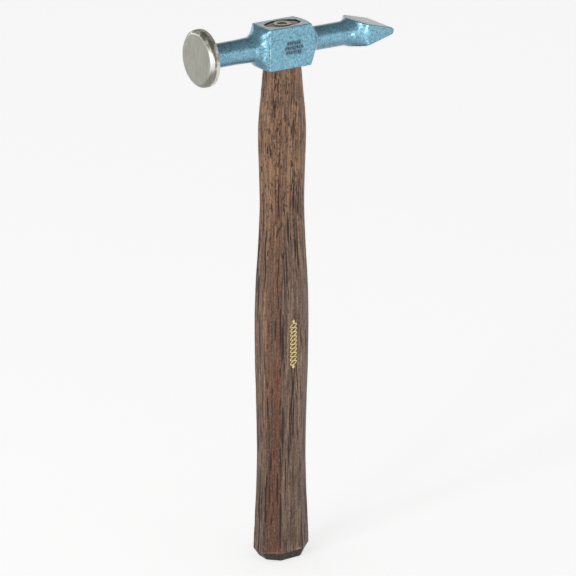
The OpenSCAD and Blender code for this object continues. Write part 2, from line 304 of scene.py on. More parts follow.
def surface_net(field, xs, ys, zs):
    """Quads around the field's zero surface, with one vertex in every crossed cell."""
    values = field(np.stack(np.meshgrid(xs, ys, zs, indexing="ij"), -1))
    inside = values < 0
    shape = np.array(values.shape) - 1
    count = sum(
        inside[i:i + shape[0], j:j + shape[1], k:k + shape[2]].astype(np.int8)
        for i in (0, 1) for j in (0, 1) for k in (0, 1)
    )
    cells = np.argwhere((count > 0) & (count < 8))
    number = np.full(shape, -1, np.int64)
    number[tuple(cells.T)] = np.arange(len(cells))
    total, hits = np.zeros((len(cells), 3)), np.zeros(len(cells))
    axes = (xs, ys, zs)
    for axis in range(3):
        for j in (0, 1):
            for k in (0, 1):
                start = cells.copy()
                start[:, (axis + 1) % 3] += j
                start[:, (axis + 2) % 3] += k
                end = start.copy()
                end[:, axis] += 1
                a, b = values[tuple(start.T)], values[tuple(end.T)]
                crossed = (a < 0) != (b < 0)
                t = np.where(crossed, a / np.where(crossed, a - b, 1), 0)
                p0 = np.stack([axes[d][start[:, d]] for d in range(3)], -1)
                p1 = np.stack([axes[d][end[:, d]] for d in range(3)], -1)
                total += np.where(crossed[:, None], p0 + t[:, None] * (p1 - p0), 0)
                hits += crossed
    quads = []
    for axis in range(3):
        edges = np.argwhere(np.diff(inside.astype(np.int8), axis=axis))
        u, w = (axis + 1) % 3, (axis + 2) % 3
        corners = []
        for du, dw in ((-1, -1), (0, -1), (0, 0), (-1, 0)):
            c = edges.copy()
            c[:, u] += du
            c[:, w] += dw
            corners.append(number[tuple(c.T)])
        quad = np.stack(corners, -1)
        flip = ~inside[tuple(edges.T)]
        quad[flip] = quad[flip][:, ::-1]
        quads.append(quad)
    return total / hits[:, None], np.concatenate(quads)


def slope_of(field, points, h=0.02):
    steps = np.eye(3) * h
    return np.stack([(field(points + s) - field(points - s)) / (2 * h) for s in steps], -1)


def settle(field, points, quads):
    """Evens the mesh out twice, and brings it back on to the surface after each time."""
    rounds = 3
    links = np.concatenate([quads[:, [i, (i + 1) % 4]] for i in range(4)])
    links = np.concatenate([links, links[:, ::-1]])
    for turn in range(rounds):
        if turn < rounds - 1:
            total, hits = np.zeros_like(points), np.zeros(len(points))
            np.add.at(total, links[:, 0], points[links[:, 1]])
            np.add.at(hits, links[:, 0], 1)
            points = points + 0.5 * (total / hits[:, None] - points)
        for _ in range(3):
            g = slope_of(field, points)
            step = (field(points) / np.maximum((g * g).sum(-1), 0.2))[:, None] * g
            length = np.linalg.norm(step, axis=-1, keepdims=True)
            points = points - step * np.minimum(1, 0.4 / np.maximum(length, 1e-9))
    return points


def unit(vectors):
    return vectors / np.maximum(np.linalg.norm(vectors, axis=-1, keepdims=True), 1e-9)


def cut_sheet(points, quads, values, carried):
    """The part of a mesh where values are positive, cut cleanly along the line of zero.

    Returns its points, faces and the carried arrays, with the cut's new points added."""
    values = np.where(np.abs(values) < 1e-4, 1e-4, values)
    keep = values > 0
    whole = keep[quads].all(-1)
    mixed = quads[keep[quads].any(-1) & ~whole]
    faces = quads[whole].tolist()
    new_points, new_index = [], {}

    def crossing(a, b):
        key = (min(a, b), max(a, b))
        if key not in new_index:
            new_index[key] = len(points) + len(new_points)
            new_points.append((key, values[key[0]] / (values[key[0]] - values[key[1]])))
        return new_index[key]

    for quad in mixed.tolist():
        for tri in ((quad[0], quad[1], quad[2]), (quad[0], quad[2], quad[3])):
            face = []
            for a, b in zip(tri, tri[1:] + tri[:1]):
                if keep[a]:
                    face.append(a)
                if keep[a] != keep[b]:
                    face.append(crossing(a, b))
            if len(face) > 2:
                faces.append(face)
    pairs = np.array([key for key, _ in new_points], int).reshape(-1, 2)
    share = np.array([t for _, t in new_points])

    def extend(array):
        t = share.reshape(-1, *[1] * (array.ndim - 1))
        return np.concatenate([array, array[pairs[:, 0]] * (1 - t) + array[pairs[:, 1]] * t])

    arrays = [extend(a) for a in (points, np.where(keep, values, 0), *carried)]
    used = np.unique(np.concatenate([np.array(f) for f in faces]))
    renumber = np.full(len(arrays[0]), -1)
    renumber[used] = np.arange(len(used))
    return arrays[0][used], [renumber[f].tolist() for f in faces], [a[used] for a in arrays[1:]]


def closed_shell(outer, inner, faces):
    """Two matching sheets joined along their free edges into one closed skin."""
    n = len(outer)
    edges = dict.fromkeys(pair for face in faces for pair in zip(face, face[1:] + face[:1]))
    rim = [[b, a, a + n, b + n] for a, b in edges if (b, a) not in edges]
    back = [[i + n for i in reversed(face)] for face in faces]
    return np.concatenate([outer, inner]), faces + back + rim


# ---- Pieces ----

def add_object(name, data):
    obj = bpy.data.objects.new(name, data)
    bpy.context.scene.collection.objects.link(obj)
    return obj


def piece(name, points, faces, material, slot, node, normals=None, **attributes):
    """A smooth mesh from points in millimetres, riding on the frame in place of a CAD node."""
    mesh = bpy.data.meshes.new(name)
    mesh.from_pydata((np.asarray(points) * MM).tolist(), [], [list(f) for f in faces])
    mesh.validate()
    mesh.shade_smooth()
    for key, values in attributes.items():
        layer = mesh.attributes.new(key, "FLOAT", "POINT")
        layer.data.foreach_set("value", np.asarray(values, np.float32))
    if normals is not None:
        mesh.normals_split_custom_set_from_vertices(unit(normals).tolist())
    obj = add_object(name, mesh)
    obj.data.materials.append(material)
    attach(obj, "root")
    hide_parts(node)


# ---- Node materials ----

def srgb(r, g, b):
    """A colour from its 0 to 255 display values, as scene-linear light."""
    shares = (c / 255 for c in (r, g, b))
    return tuple(c / 12.92 if c < 0.04045 else ((c + 0.055) / 1.055) ** 2.4 for c in shares)


class Nodes:
    """Short calls for a node tree. Colours are given by their 0 to 255 display values."""

    def __init__(self, tree):
        self.tree = tree

    def node(self, kind, **options):
        node = self.tree.nodes.new("ShaderNode" + kind)
        for key, value in options.items():
            setattr(node, key, value)
        return node

    def set(self, socket, value):
        if isinstance(value, bpy.types.NodeSocket):
            self.tree.links.new(value, socket)
        elif socket.type == "RGBA":
            socket.default_value = (*srgb(*value), 1)
        else:
            socket.default_value = value

    def fill(self, node, **inputs):
        """The outputs of a node, after setting inputs by their names, with _ for a space."""
        for key, value in inputs.items():
            self.set(node.inputs[key.replace("_", " ")], value)
        return node.outputs

    def call(self, kind, *values, **options):
        """The outputs of a new node whose first inputs get these values."""
        node = self.node(kind, **options)
        for socket, value in zip(node.inputs, values):
            self.set(socket, value)
        return node.outputs

    def math(self, operation, *values, clamp=False):
        return self.call("Math", *values, operation=operation, use_clamp=clamp)[0]

    def add(self, a, b):
        return self.math("ADD", a, b)

    def sub(self, a, b):
        return self.math("SUBTRACT", a, b)

    def mul(self, a, b):
        return self.math("MULTIPLY", a, b)

    def ramp(self, value, low, high, start=0.0, end=1.0):
        """start below low, end above high, smooth between them."""
        return self.call("MapRange", value, low, high, start, end,
                         interpolation_type="SMOOTHSTEP")[0]

    def mix(self, share, a, b):
        node = self.node("Mix", data_type="RGBA")
        for i, value in ((0, share), (6, a), (7, b)):   # 6 and 7 are the inputs for colours
            self.set(node.inputs[i], value)
        return node.outputs[2]

    def layers(self, colour, *layers):
        """The colour with each layer, a share and a colour, mixed over it in turn."""
        for share, over in layers:
            colour = self.mix(share, colour, over)
        return colour


class Graph(Nodes):
    """A material's node tree, with its coordinates in millimetres."""

    def __init__(self, name):
        self.material = bpy.data.materials.new(name)
        self.material.use_nodes = True
        super().__init__(self.material.node_tree)
        self.shader = self.tree.nodes["Principled BSDF"]
        self.mm = self.stretch(1 / MM, self.node("TexCoord").outputs["Object"])
        self.x, self.y, self.z = self.call("SeparateXYZ", self.mm)
        normal = self.node("NewGeometry").outputs["Normal"]
        self.nx, _, self.nz = self.call("SeparateXYZ", normal)

    def stretch(self, scale, source):
        """A point's coordinates times a number, or times one number for each axis."""
        scale = tuple(np.broadcast_to(scale, 3))
        return self.call("VectorMath", source, scale, operation="MULTIPLY")[0]

    def noise(self, scale, detail=2.0, rough=0.5, distortion=0.0):
        """Noise in millimetre space."""
        vector = self.stretch(scale, self.mm)
        return self.fill(self.node("TexNoise"), Vector=vector, Scale=1.0, Detail=detail,
                         Roughness=rough, Distortion=distortion)["Fac"]

    def voronoi(self, scale, source=None):
        vector = self.stretch(scale, source or self.mm)
        return self.fill(self.node("TexVoronoi"), Vector=vector, Scale=1.0)

    def attribute(self, name):
        return self.node("Attribute", attribute_name=name).outputs["Fac"]

    def sheared(self, share):
        """The millimetre coordinates leaned in X as they go up."""
        leaned = self.add(self.x, self.mul(self.z, share))
        return self.call("CombineXYZ", leaned, self.y, self.z)[0]

    def spots(self, cells, radius, wanted, strength=1.0):
        """Marks of that radius in the wanted share of a voronoi's cells."""
        chance = self.call("SeparateColor", cells["Color"])[0]
        mark = self.ramp(cells["Distance"], radius, radius * 0.45, 0.0, strength)
        return self.mul(mark, self.math("LESS_THAN", chance, wanted))

    def bump(self, height, depth_mm, strength=1.0):
        """Relief of that many millimetres for a height from 0 to 1."""
        bump = self.fill(self.node("Bump"), Height=height, Distance=depth_mm * MM, Strength=strength)
        self.fill(self.shader, Normal=bump[0])

    def finish(self, **inputs):
        self.fill(self.shader, **inputs)
        return self.material


def hammertone_enamel():
    g = Graph("hammertone_enamel")
    cloud = g.noise(0.14, 2)
    mottle = g.noise(1.0, 3, 0.6)
    grit = g.noise(2.1, 3, 0.6)
    dots = g.voronoi(0.75)
    worn = g.mul(g.ramp(g.attribute("edge"), 0.15, 0.6), g.ramp(mottle, 0.4, 0.6, 0.2, 0.85))
    lip = g.mul(g.attribute("lip"), g.ramp(grit, 0.6, 0.4, 0.3, 0.8))
    grime_and_shade = g.mul(g.attribute("grime_and_shade"), g.ramp(grit, 0.38, 0.56, 0.4, 0.9))
    colour = g.layers(
        g.mix(g.ramp(mottle, 0.36, 0.64), (93, 151, 176), (145, 202, 221)),
        (g.ramp(cloud, 0.4, 0.7, 0, 0.25), (146, 192, 208)),
        (g.ramp(grit, 0.52, 0.63, 0, 0.8), (52, 98, 130)),      # dark specks
        (g.ramp(grit, 0.45, 0.34, 0, 0.65), (192, 234, 244)),   # pale specks
        (g.spots(dots, 0.36, 0.32, 0.9), (30, 62, 88)),
        (g.ramp(g.nz, 0.0, -0.65, 0, 0.6), (40, 80, 104)),      # painted shade on the underside
        (g.ramp(g.nz, 0.85, 0.98, 0, 0.4), (98, 116, 122)),     # greyer where it faces up
        (worn, (196, 216, 222)),
        (lip, (184, 200, 202)),
        (g.mul(g.attribute("seam"), 0.75), (48, 70, 84)),
        # grime round the stamp, and painted shade under the pein's flare and the block's funnel
        (grime_and_shade, (52, 74, 96)),
        # painted shade inside the stamped pips
        (g.ramp(g.attribute("stamp"), 0.1, 0.9, 0, 0.85), (36, 54, 74)),
    )
    g.bump(g.add(g.mul(mottle, 0.8), g.mul(grit, 0.4)), 0.11, 0.7)
    rough = g.ramp(grit, 0.3, 0.75, 0.24, 0.4)
    return g.finish(Base_Color=colour, Roughness=rough, Metallic=0.6,
                    Coat_Weight=0.5, Coat_Roughness=0.14)


FACET_X = (42.0, 64.0)   # the ground facets get paler between these two


def ground_steel():
    g = Graph("ground_steel")
    flat = g.math("ABSOLUTE", g.nx)
    pein = g.math("GREATER_THAN", g.x, 0.0)
    lines = g.noise((0.12, 2.6, 0.09), 4, 0.62)
    turning = g.noise((4.5, 0.12, 0.12), 3, 0.6)
    grain = g.mix(g.ramp(flat, 0.12, 0.3), turning, lines)
    grain = g.mix(pein, grain, lines)
    stain = g.noise(0.14, 3, 0.55)
    pits = g.noise(1.5, 2, 0.55)
    facet = g.mix(g.ramp(g.x, *FACET_X), (142, 168, 177), (222, 243, 247))
    aged = g.sub(1.0, g.mul(pein, 0.7))
    # The disc's rim and the upper part of its chamfer keep a mottled scale.
    disc = g.math("LESS_THAN", g.x, 0.0)
    rim = g.mul(g.ramp(flat, 0.4, 0.2), disc)
    chamfer = g.mul(g.mul(g.ramp(flat, 0.97, 0.9), g.ramp(flat, 0.3, 0.5)), disc)
    scaled = g.add(rim, g.mul(chamfer, g.ramp(g.nz, 0.3, 0.55)))
    scale = g.noise((0.3, 0.22, 0.22), 3, 0.6)
    crust = g.mix(g.ramp(scale, 0.42, 0.6), (224, 222, 210), (146, 142, 124))
    front = g.ramp(g.x, FACE_X + 4.0, FACE_X + 2.8)
    crust = g.mix(g.mul(front, g.ramp(scale, 0.36, 0.5, 0.3, 0.95)), crust, (112, 108, 92))
    # Painted highlight on the side of the disc's chamfer, and painted shade on its lower part.
    chamfer_painted_highlight = g.mul(chamfer, g.mul(g.ramp(g.nz, 0.4, 0.2), g.ramp(g.nz, -0.3, -0.05)))
    chamfer_painted_shade = g.mul(chamfer, g.ramp(g.nz, -0.05, -0.3, 0, 0.8))
    colour = g.layers(
        g.mix(g.ramp(grain, 0.3, 0.7), (146, 146, 137), (176, 176, 166)),
        (g.mul(pein, 0.85), facet),
        (g.mul(aged, g.ramp(stain, 0.45, 0.75, 0, 0.3)), (136, 130, 114)),
        (g.mul(scaled, 0.85), crust),
        (chamfer_painted_highlight, (214, 215, 208)),
        (chamfer_painted_shade, (122, 122, 114)),
        (g.mul(g.attribute("seam"), 0.8), (52, 58, 60)),
        (g.mul(aged, g.ramp(pits, 0.62, 0.76, 0, 0.4)), (96, 92, 82)),
        (g.ramp(g.attribute("bore"), 0.2, 0.8), (66, 64, 58)),
    )
    g.bump(g.mul(g.add(grain, g.mul(pits, 0.3)), g.sub(1.0, g.mul(pein, 0.85))), 0.03, 0.5)
    rough = g.sub(g.ramp(grain, 0.25, 0.8, 0.28, 0.44), g.mul(chamfer, 0.06))
    rough = g.sub(g.add(rough, g.mul(scaled, 0.14)), g.mul(pein, 0.06))
    return g.finish(Base_Color=colour, Roughness=rough, Metallic=g.sub(1.0, g.mul(scaled, 0.45)))


def stained_hickory():
    g = Graph("stained_hickory")
    # Growth rings around an axis outside the handle: they give nested arches on the Y flats.
    wander = g.noise((0.09, 0.09, 0.014), 2)
    off_x, off_y = g.sub(g.x, 2.5), g.add(g.y, 26.0)
    radius = g.math("SQRT", g.add(g.mul(off_x, off_x), g.mul(off_y, off_y)))
    ring = g.add(g.add(radius, g.mul(g.z, 0.03)), g.mul(wander, 6.0))
    phase = g.math("FRACT", g.mul(ring, 0.5))
    early = g.mul(g.ramp(phase, 0.0, 0.15), g.ramp(phase, 0.6, 0.3))
    cloud = g.noise((0.12, 0.12, 0.03), 2)
    upper = g.ramp(g.add(g.z, g.mul(cloud, 50.0)), 190.0, 260.0)
    streak = g.noise((1.15, 1.15, 0.03), 3, 0.6, 0.1)
    broad = g.noise((0.3, 0.3, 0.01), 2, 0.5)
    fibre = g.noise((2.2, 2.2, 0.09), 3, 0.6)
    speckle = g.noise((1.5, 1.5, 0.8), 3, 0.65)
    long_cells = g.voronoi((1.2, 1.2, 0.05))
    thin_cells = g.voronoi((1.7, 1.7, 0.12))
    fleck_cells = g.voronoi((1.5, 1.5, 0.3), g.sheared(0.12))

    often = g.add(0.06, g.mul(early, 0.3))
    pores = g.math("MAXIMUM", g.spots(long_cells, 0.34, often), g.spots(thin_cells, 0.34, often))
    pores = g.mul(pores, g.ramp(upper, 0.4, 0.9, 1.0, 0.4))
    crowd = g.ramp(g.noise((0.1, 0.1, 0.035), 2), 0.4, 0.62)
    flecks = g.spots(fleck_cells, 0.42, g.add(0.2, g.mul(crowd, 0.6)))
    flecks = g.mul(flecks, g.ramp(upper, 0.1, 0.8, 0.3, 1.0))
    slit = g.math("MAXIMUM", pores, flecks, clamp=True)
    slit = g.math("MAXIMUM", slit, g.ramp(g.attribute("pore"), 0.1, 0.55))

    share = g.ramp(streak, 0.4, 0.6)
    # the flats' greyer mauve: partly the wood's own tone, partly a painted sheen
    flats = g.mix(share, (102, 79, 65), (158, 129, 107))
    ruddy = g.mix(share, (72, 47, 35), (112, 77, 57))
    corners = g.mix(share, (88, 60, 45), (138, 100, 73))
    corners = g.mix(g.ramp(g.z, 150.0, 60.0, 0, 0.85), corners, ruddy)
    warm = g.mix(share, (124, 86, 60), (178, 132, 95))
    tan_stain = g.mul(g.attribute("tan"), g.ramp(streak, 0.3, 0.6, 0.35, 0.9))
    red_stain = g.mul(g.attribute("red"), g.ramp(streak, 0.38, 0.6, 0.9, 0.5))
    end = g.ramp(g.math("ABSOLUTE", g.nz), 0.55, 0.9)
    butt = g.ramp(g.z, BUTT_CHAMFER, BUTT_CHAMFER - 0.5)
    rings = g.mix(g.ramp(phase, 0.2, 0.7), (34, 29, 24), (47, 41, 34))
    top_grain = g.mix(g.ramp(speckle, 0.4, 0.6), (146, 138, 124), (204, 194, 178))
    rings = g.mix(g.math("GREATER_THAN", g.z, GRIP_TOP), rings, top_grain)
    colour = g.layers(
        g.mix(g.attribute("corner"), flats, corners),
        (g.mul(upper, 0.75), warm),
        (g.ramp(broad, 0.52, 0.7, 0, 0.35), (84, 62, 52)),
        (tan_stain, (172, 132, 98)),
        (red_stain, (122, 66, 44)),
        (g.mul(early, 0.35), (76, 56, 46)),
        (g.ramp(g.z, 130.0, 20.0, 0, 0.22), (58, 44, 38)),      # darker towards the butt
        (g.ramp(fibre, 0.45, 0.68, 0, 0.5), (70, 52, 44)),
        (g.ramp(fibre, 0.42, 0.3, 0, 0.45), (180, 148, 120)),
        (g.ramp(speckle, 0.5, 0.64, 0, 0.6), (68, 50, 41)),
        (g.ramp(speckle, 0.46, 0.34, 0, 0.35), (176, 146, 120)),
        (g.mul(slit, 0.92), (40, 29, 24)),
        (g.mul(g.attribute("worn"), g.ramp(speckle, 0.4, 0.55)), (186, 152, 112)),
        (g.math("MAXIMUM", end, g.mul(butt, 0.9)), rings),
        (g.ramp(g.attribute("shade"), 0.1, 0.9), (28, 22, 18)),
    )
    height = g.sub(g.mul(g.add(fibre, streak), 0.3), slit)
    g.bump(height, 0.16, 0.8)
    rough = g.ramp(g.add(fibre, g.mul(slit, 0.5)), 0.3, 1.0, 0.42, 0.7)
    return g.finish(Base_Color=colour, Roughness=rough, Specular_IOR_Level=0.35)


def wedge_steel():
    g = Graph("wedge_steel")
    dents = g.noise(0.9, 3, 0.6)
    grit = g.noise(2.4, 2, 0.6)
    colour = g.layers(
        g.mix(g.ramp(dents, 0.35, 0.7), (186, 176, 160), (236, 230, 218)),
        (g.ramp(grit, 0.52, 0.7, 0, 0.6), (112, 98, 80)),
        (g.ramp(g.z, BLOCK_TOP - 0.1, BLOCK_TOP - 0.6), (62, 54, 42)),   # dark inside the ring
    )
    g.bump(g.add(dents, g.mul(grit, 0.4)), 0.12, 0.6)
    return g.finish(Base_Color=colour, Roughness=g.ramp(dents, 0.3, 0.7, 0.34, 0.54), Metallic=1.0)


def gold_foil():
    g = Graph("gold_foil")
    worn = g.noise(1.1, 4, 0.65)
    crumple = g.noise((2.5, 2.5, 0.7), 3)
    colour = g.mix(g.ramp(worn, 0.36, 0.66), (206, 176, 112), (244, 226, 168))
    colour = g.mix(g.ramp(crumple, 0.62, 0.8, 0, 0.6), colour, (150, 112, 66))
    g.bump(crumple, 0.04, 0.6)
    return g.finish(Base_Color=colour, Roughness=g.ramp(worn, 0.3, 0.7, 0.5, 0.36), Metallic=0.75)


# ---- The head: steel and enamel ----

GRID_STEP = 0.62         # coarsest step of the head's grid
BEND_REACH = 0.55        # how far off an edge the sheet's bend is felt


def head_mesh():
    """Points and quads of the steel head, on a grid that is finer at edges and marks."""
    xs = graded_lines(FACE_X - 1, TIP_X + 1, GRID_STEP, [
        (FACE_X + 1.4, 1.8, 0.3), (FACE_X + FACE_T, 0.7, 0.25), (-BLOCK_HALF_L - 2, 2.6, 0.4),
        (STAMP_X, 6.3, 0.26), (BLOCK_HALF_L + 2, 2.2, 0.4), (FLARE_X + 6.6, 1, 0.4),
        (TIP_X - 1, 1.8, 0.32),
    ])
    ys = graded_lines(-FACE_R - 1, FACE_R + 1, GRID_STEP, [
        (side * place, 0.7, 0.3) for side in (-1, 1)
        for place in (BLOCK_HALF_W, PEIN_HALF_W, EYE_HALF_W)
    ])
    zs = HEAD_Z + graded_lines(-FACE_R - 1, FACE_R + 1, GRID_STEP, [
        (-BLOCK_HALF_H, 0.7, 0.3), (BLOCK_HALF_H, 0.7, 0.3), (0, 3.6, 0.26),
    ])
    points, quads = surface_net(head_field, xs, ys, zs)
    return settle(head_field, points, quads), quads


def enamel_marks(points):
    """Weights of the worn edges, the stamp's pips and their painted shade, grime round the stamp
    with painted shade under the flare and funnel, the eye's pale lip and the facets' dark seam.
    """
    x, y, z = points.T
    above = z - HEAD_Z
    steps = BEND_REACH * np.eye(3)
    bend = sum(head_field(points + step) + head_field(points - step) for step in steps)
    face_side = bell(x + BLOCK_HALF_L + 0.7, 0.9) * (np.abs(y) > BLOCK_HALF_W - 1.2)
    rubbed = smoothstep(0.35, 0.6, lattice_noise(points, 3.1, 51)) * smoothstep(13, 5, above)
    on_side = points * (1, 0, 1) - (0, BLOCK_HALF_W, 0)
    round_stamp = bell(np.maximum(stamp_field(on_side), 0), 0.75) * (y < -BLOCK_HALF_W + 1)
    # Painted shade under the pein's flare and under the block's funnel.
    under_flare = 0.75 * bell(x - FLARE_X - 4.5, 3.2) * smoothstep(0, 6, -above)
    under_funnel = 0.6 * bell(x + 17.5, 3.2) * smoothstep(1, 8, -above)
    return {
        "edge": np.clip(bend / BEND_REACH, 0, 1) * np.maximum(face_side * rubbed, 0.2),
        "stamp": smoothstep(0.05, 0.22, y + BLOCK_HALF_W) * (stamp_field(points) < 0.12),
        "grime_and_shade": np.maximum(round_stamp, under_flare + under_funnel),
        "lip": bell(np.maximum(eye_field(points), 0), 0.8) * (z > BLOCK_TOP - 0.4),
        "seam": bell(np.maximum(-wedge_field(x, above), 0), 0.32) * (x > FLARE_X),
    }


def head_pieces():
    points, quads = head_mesh()
    normals = unit(slope_of(head_field, points))
    paint = paint_field(points)
    piece("head_steel", points, quads, ground_steel(), "bright_steel", "head", normals,
          bore=smoothstep(0.35, -0.1, eye_field(points)), seam=bell(paint, 0.3))

    marks = enamel_marks(points)
    sheet, faces, carried = cut_sheet(points, quads, paint, (normals, *marks.values()))
    inset, normals, *cut_marks = carried
    marks = dict(zip(marks, cut_marks))
    normals = unit(normals)
    thick = ENAMEL_T * (0.15 + 0.85 * smoothstep(0, 0.6, inset)) * (1 - 0.5 * marks["stamp"])
    skin, faces = closed_shell(sheet + normals * thick[:, None], sheet, faces)
    piece("enamel_skin", skin, faces, hammertone_enamel(), "hammertone_enamel", "enamel_coat",
          np.concatenate([normals, -normals]),
          **{key: np.tile(values, 2) for key, values in marks.items()})


# ---- The handle ----

def grip_widths():
    """Half widths in X and Y against height, read from the rings of the CAD grip."""
    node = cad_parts["handle"]
    co = np.array([v.co for v in node.data.vertices]) / MM
    co = co[co[:, 2] < GRIP_TOP + 0.01]
    levels = np.unique(np.round(co[:, 2], 2))
    rings = [(z, co[np.abs(co[:, 2] - z) < 0.02]) for z in levels]
    rings = [(z, c) for z, c in rings if len(c) >= 24]
    return np.array([(z, np.abs(c[:, 0]).max(), np.abs(c[:, 1]).max()) for z, c in rings])


def smooth_table(table, z):
    """Hermite curve through a table's rows, at height z."""
    heights, values = table[:, 0], table[:, 1:]
    slopes = np.gradient(values, heights, axis=0)
    i = int(np.clip(np.searchsorted(heights, z) - 1, 0, len(heights) - 2))
    span = heights[i + 1] - heights[i]
    t = np.clip((z - heights[i]) / span, 0, 1)
    return (values[i] * (1 + 2 * t) * (1 - t) ** 2 + slopes[i] * span * t * (1 - t) ** 2
            + values[i + 1] * t * t * (3 - 2 * t) + slopes[i + 1] * span * t * t * (t - 1))


# Points of a grip ring on half an X flat, on each ridge, on a bevel and on half a Y flat
HALF_X_FLAT, RIDGE, BEVEL, HALF_Y_FLAT = 7, 7, 15, 22


def octagon_ring(a, b, r):
    """The grip's rounded octagon, with a fixed number of points on each flat and each ridge."""
    fx, fy = Y_FLAT * b, X_FLAT * a
    lean = atan2(a - fx, b - fy)
    turns = (lean / 2, (pi / 2 - lean) / 2)
    c1 = np.array([a - r, fy - r * tan(turns[0])])
    c2 = np.array([fx - r * tan(turns[1]), b - r])

    def arc(centre, start, end):
        return [centre + r * np.array([cos(w), sin(w)]) for w in np.linspace(start, end, RIDGE + 1)]

    arc1, arc2 = arc(c1, 0, lean), arc(c2, lean, pi / 2)
    quarter = np.concatenate([
        np.linspace([a, 0], arc1[0], HALF_X_FLAT, endpoint=False), arc1[:-1],
        np.linspace(arc1[-1], arc2[0], BEVEL, endpoint=False), arc2[:-1],
        np.linspace(arc2[-1], [0, b], HALF_Y_FLAT, endpoint=False),
    ])
    mirror_x = np.concatenate([[[0, b]], quarter[:0:-1]]) * (-1, 1)
    half = np.concatenate([quarter, mirror_x])
    return np.concatenate([half, -half])


def ring_at(flat, z):
    return np.column_stack([flat, np.full(len(flat), z)])


def tenon_outline(direction, z):
    """Radius of the tenon at height z, in each direction."""
    narrow = eye_narrowing(z) + TENON_PLAY
    offset = EYE_ARC_R - EYE_HALF_W
    side = np.sqrt((EYE_ARC_R - narrow) ** 2 - (offset * direction[:, 0]) ** 2)
    return np.minimum(side - offset * np.abs(direction[:, 1]), EYE_HALF_L - narrow)


def tenon_rings(direction):
    """Rings up the tenon, in over its end grain, down round the wedge and over the core."""
    in_eye = (GRIP_TOP, GRIP_TOP + 4.5, EYE_WAIST_Z, GRIP_TOP + 16, wood_top - 0.25)
    outline = tenon_outline(direction, wood_top)
    taper = WEDGE_TAPER / (wedge_high[2] - wedge_low[2])
    wedge_r = WEDGE_R - taper * (wedge_high[2] - wood_top) + 0.02
    wedge_low_r, low = WEDGE_R - WEDGE_TAPER, wedge_low[2] - 0.02
    core = BLOCK_TOP - CORE_RECESS
    steps = [(tenon_outline(direction, z), z) for z in in_eye]   # radius and height
    steps += [(outline - 0.12, wood_top - 0.06)]
    steps += [((outline - 0.2) * (1 - share) + wedge_r * share, wood_top)
              for share in np.linspace(0.06, 1, 12)]
    steps += [(wedge_low_r + 0.02, low), (wedge_low_r - WEDGE_WALL - 0.02, low)]
    steps += [(r, core + 0.12 * (1 - r / WEDGE_HOLE_R)) for r in (WEDGE_HOLE_R, 2.3, 1.5, 0.7, 0.05)]
    return [ring_at(direction * np.reshape(radius, (-1, 1)), z) for radius, z in steps]


def handle_rings():
    """Rings from the butt's middle to the core's, and the numbers of the grip's first and last."""
    table = grip_widths()
    chamfer_step = table[1, 1:] - table[0, 1:]      # how far the chamfer steps in
    body = table[1:]
    edge_levels = BUTT_ROUND * (1 - np.cos(np.linspace(0, pi / 2, 6)))
    chamfer_levels = np.linspace(BUTT_ROUND, BUTT_CHAMFER - 0.8, 7)[1:]
    turn_levels = BUTT_CHAMFER + np.linspace(-0.6, 1.2, 10)
    steps = ceil((GRIP_TOP - BUTT_CHAMFER - 1.2) / 0.92)
    levels = np.concatenate([edge_levels, chamfer_levels, turn_levels,
                             np.linspace(BUTT_CHAMFER + 1.2, GRIP_TOP, steps + 1)[1:]])
    rings = []
    for z in levels:
        widths = smooth_table(body, max(z, BUTT_CHAMFER))
        below = BUTT_CHAMFER - z
        inset = (below + sqrt(below * below + 0.16)) / 2 / BUTT_CHAMFER
        rounding = BUTT_ROUND - sqrt(max(0, BUTT_ROUND ** 2 - max(0, BUTT_ROUND - z) ** 2))
        a, b = widths - chamfer_step * inset - 0.6 * rounding
        rings.append(ring_at(octagon_ring(a, b, np.interp(z, RIDGE_Z, RIDGE_R)), z))
    butt = [rings[0] * (s, s, 1) for s in (0.02, 0.25, 0.5, 0.75, 0.92)]
    tenon = tenon_rings(unit(rings[-1][:, :2]))
    return np.array(butt + rings + tenon), len(butt), len(butt + rings)


def ring_quads(index):
    """Quads between neighbouring rings, each a row of point numbers."""
    after = np.roll(index, -1, axis=1)
    return np.stack([index[:-1], after[:-1], after[1:], index[1:]], -1).reshape(-1, 4).tolist()


def capped_faces(rows, columns):
    """Faces of a stack of rings, with its first and last ring capped."""
    index = np.arange(rows * columns).reshape(rows, columns)
    return ring_quads(index) + [index[0][::-1].tolist(), index[-1].tolist()]


def ring_normals(rings):
    around = np.roll(rings, -1, axis=1) - np.roll(rings, 1, axis=1)
    along = np.gradient(rings, axis=0)
    return unit(np.cross(around, along))


# Kinds of open pores: count, lowest and highest point, length, half width, depth, lean
PORES = (
    (120, (8, 230), (12, 40), (0.24, 0.42), (0.14, 0.3), 0.015),
    (380, (8, 300), (3, 12), (0.2, 0.32), (0.06, 0.16), 0.03),
    (300, (190, 300), (2.4, 6), (0.24, 0.4), (0.08, 0.22), 0.12),
)


def open_grain(points, normals, seed):
    """Depth of the long open pores and checks at each point of the grip, in millimetres."""
    random = np.random.default_rng(seed)
    depth = np.zeros(len(points))
    for count, heights, lengths, widths, depths, lean_by in PORES:
        choice = np.flatnonzero((points[:, 2] > heights[0]) & (points[:, 2] < heights[1]))
        for n in random.choice(choice, count, replace=False):
            centre, out = points[n], normals[n]
            length = random.uniform(*lengths)
            width = random.uniform(*widths)
            deep = random.uniform(*depths)
            lean = random.normal(0, lean_by)
            sway, turn = random.uniform(0.05, 0.4), random.uniform(0, 2 * pi)
            near = np.flatnonzero(np.abs(points[:, 2] - centre[2]) < length / 2)
            near = near[normals[near] @ out > 0.75]
            local = points[near] - centre
            tangent = unit(np.array([-out[1], out[0], 0.0]))
            line = lean * local[:, 2] + sway * (np.sin(local[:, 2] / 4.5 + turn) - sin(turn))
            across = local @ tangent - line
            ends = np.sqrt(np.maximum(0, 1 - (2 * local[:, 2] / length) ** 2))
            groove = deep * ends * bell(across, width * (0.4 + 0.6 * ends))
            depth[near] = np.maximum(depth[near], groove)
    return depth


